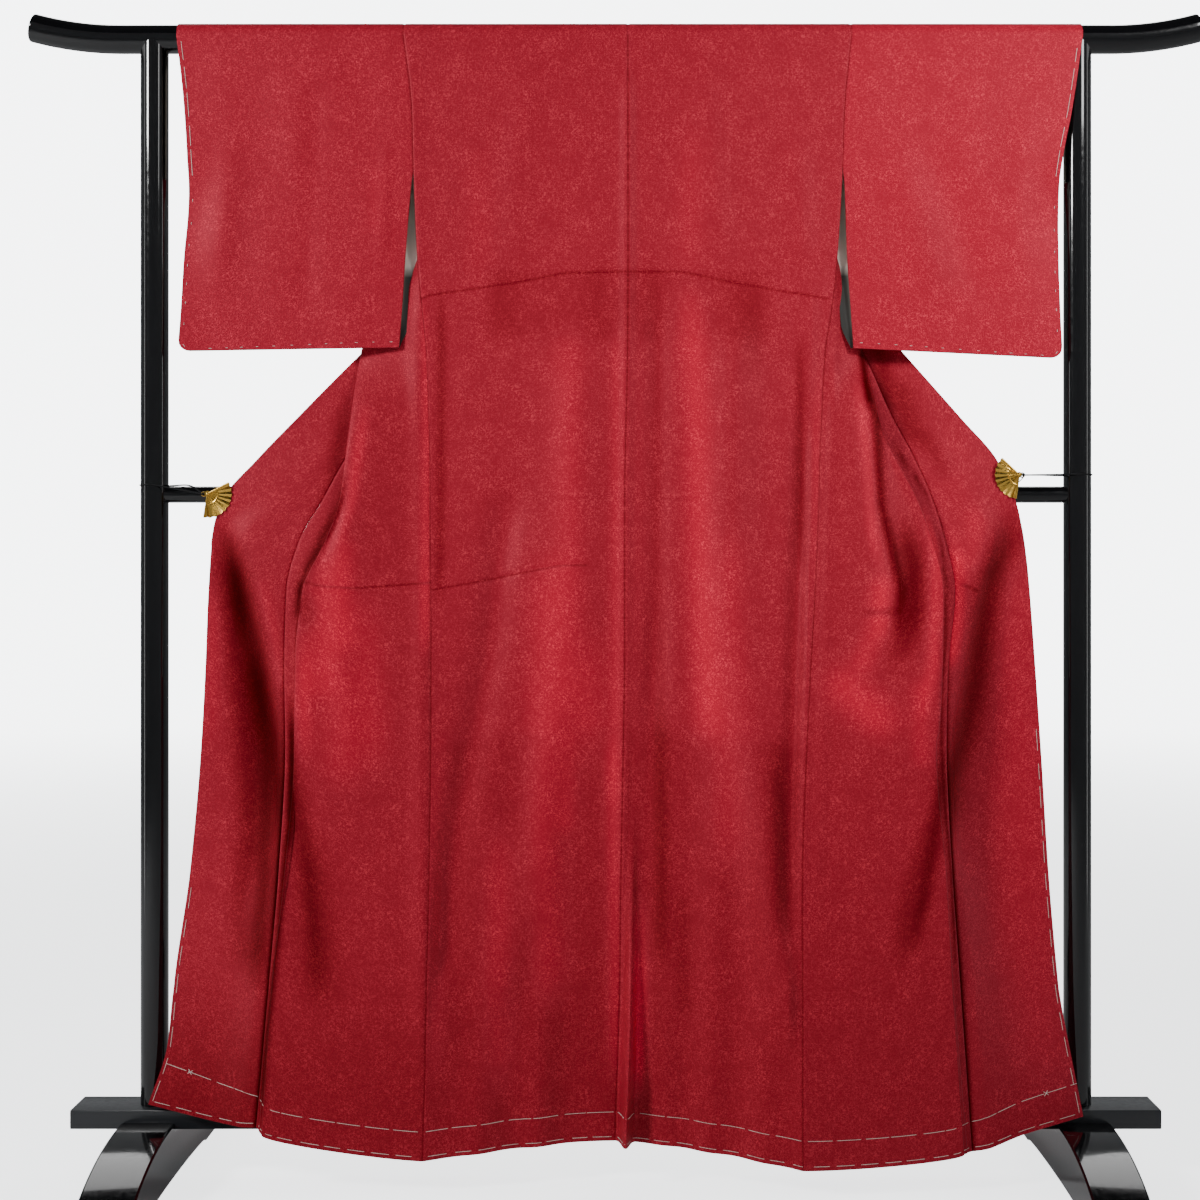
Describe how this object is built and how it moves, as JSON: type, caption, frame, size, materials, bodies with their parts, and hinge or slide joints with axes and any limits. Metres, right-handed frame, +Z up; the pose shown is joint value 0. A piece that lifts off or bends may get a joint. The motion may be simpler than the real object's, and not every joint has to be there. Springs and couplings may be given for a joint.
{
  "type": "komon kimono on a kimono stand",
  "caption": "Red silk crepe kimono hung on a black lacquered kimono stand, seen from its back, its fronts held open by fan clips on elastic cords.",
  "frame": {"origin": "on the floor, under the middle of the stand", "axes": "+Z up, +X along the rails to the right of someone who looks at the garment's back, -Y out of the garment's back"},
  "size_m": [1.7074, 0.52, 1.6896],
  "materials": {
    "silk_crepe": "fine crepe, softly lustrous",
    "black_lacquer": "gloss black lacquer",
    "gilt_metal": "polished gilt",
    "elastic_cord": "matt black"
  },
  "bodies": {
    "root": {"top_rail": "black_lacquer", "post_left": "black_lacquer", "post_right": "black_lacquer", "mid_rail": "black_lacquer", "base_plank": "black_lacquer", "foot_left": "black_lacquer", "foot_right": "black_lacquer", "body_left": "silk_crepe", "body_right": "silk_crepe", "okumi_left": "silk_crepe", "okumi_right": "silk_crepe", "collar": "silk_crepe", "sleeve_left": "silk_crepe", "sleeve_right": "silk_crepe", "clip_left": "gilt_metal", "clip_right": "gilt_metal", "cord_left": "elastic_cord", "cord_right": "elastic_cord"}
  },
  "joints": []
}
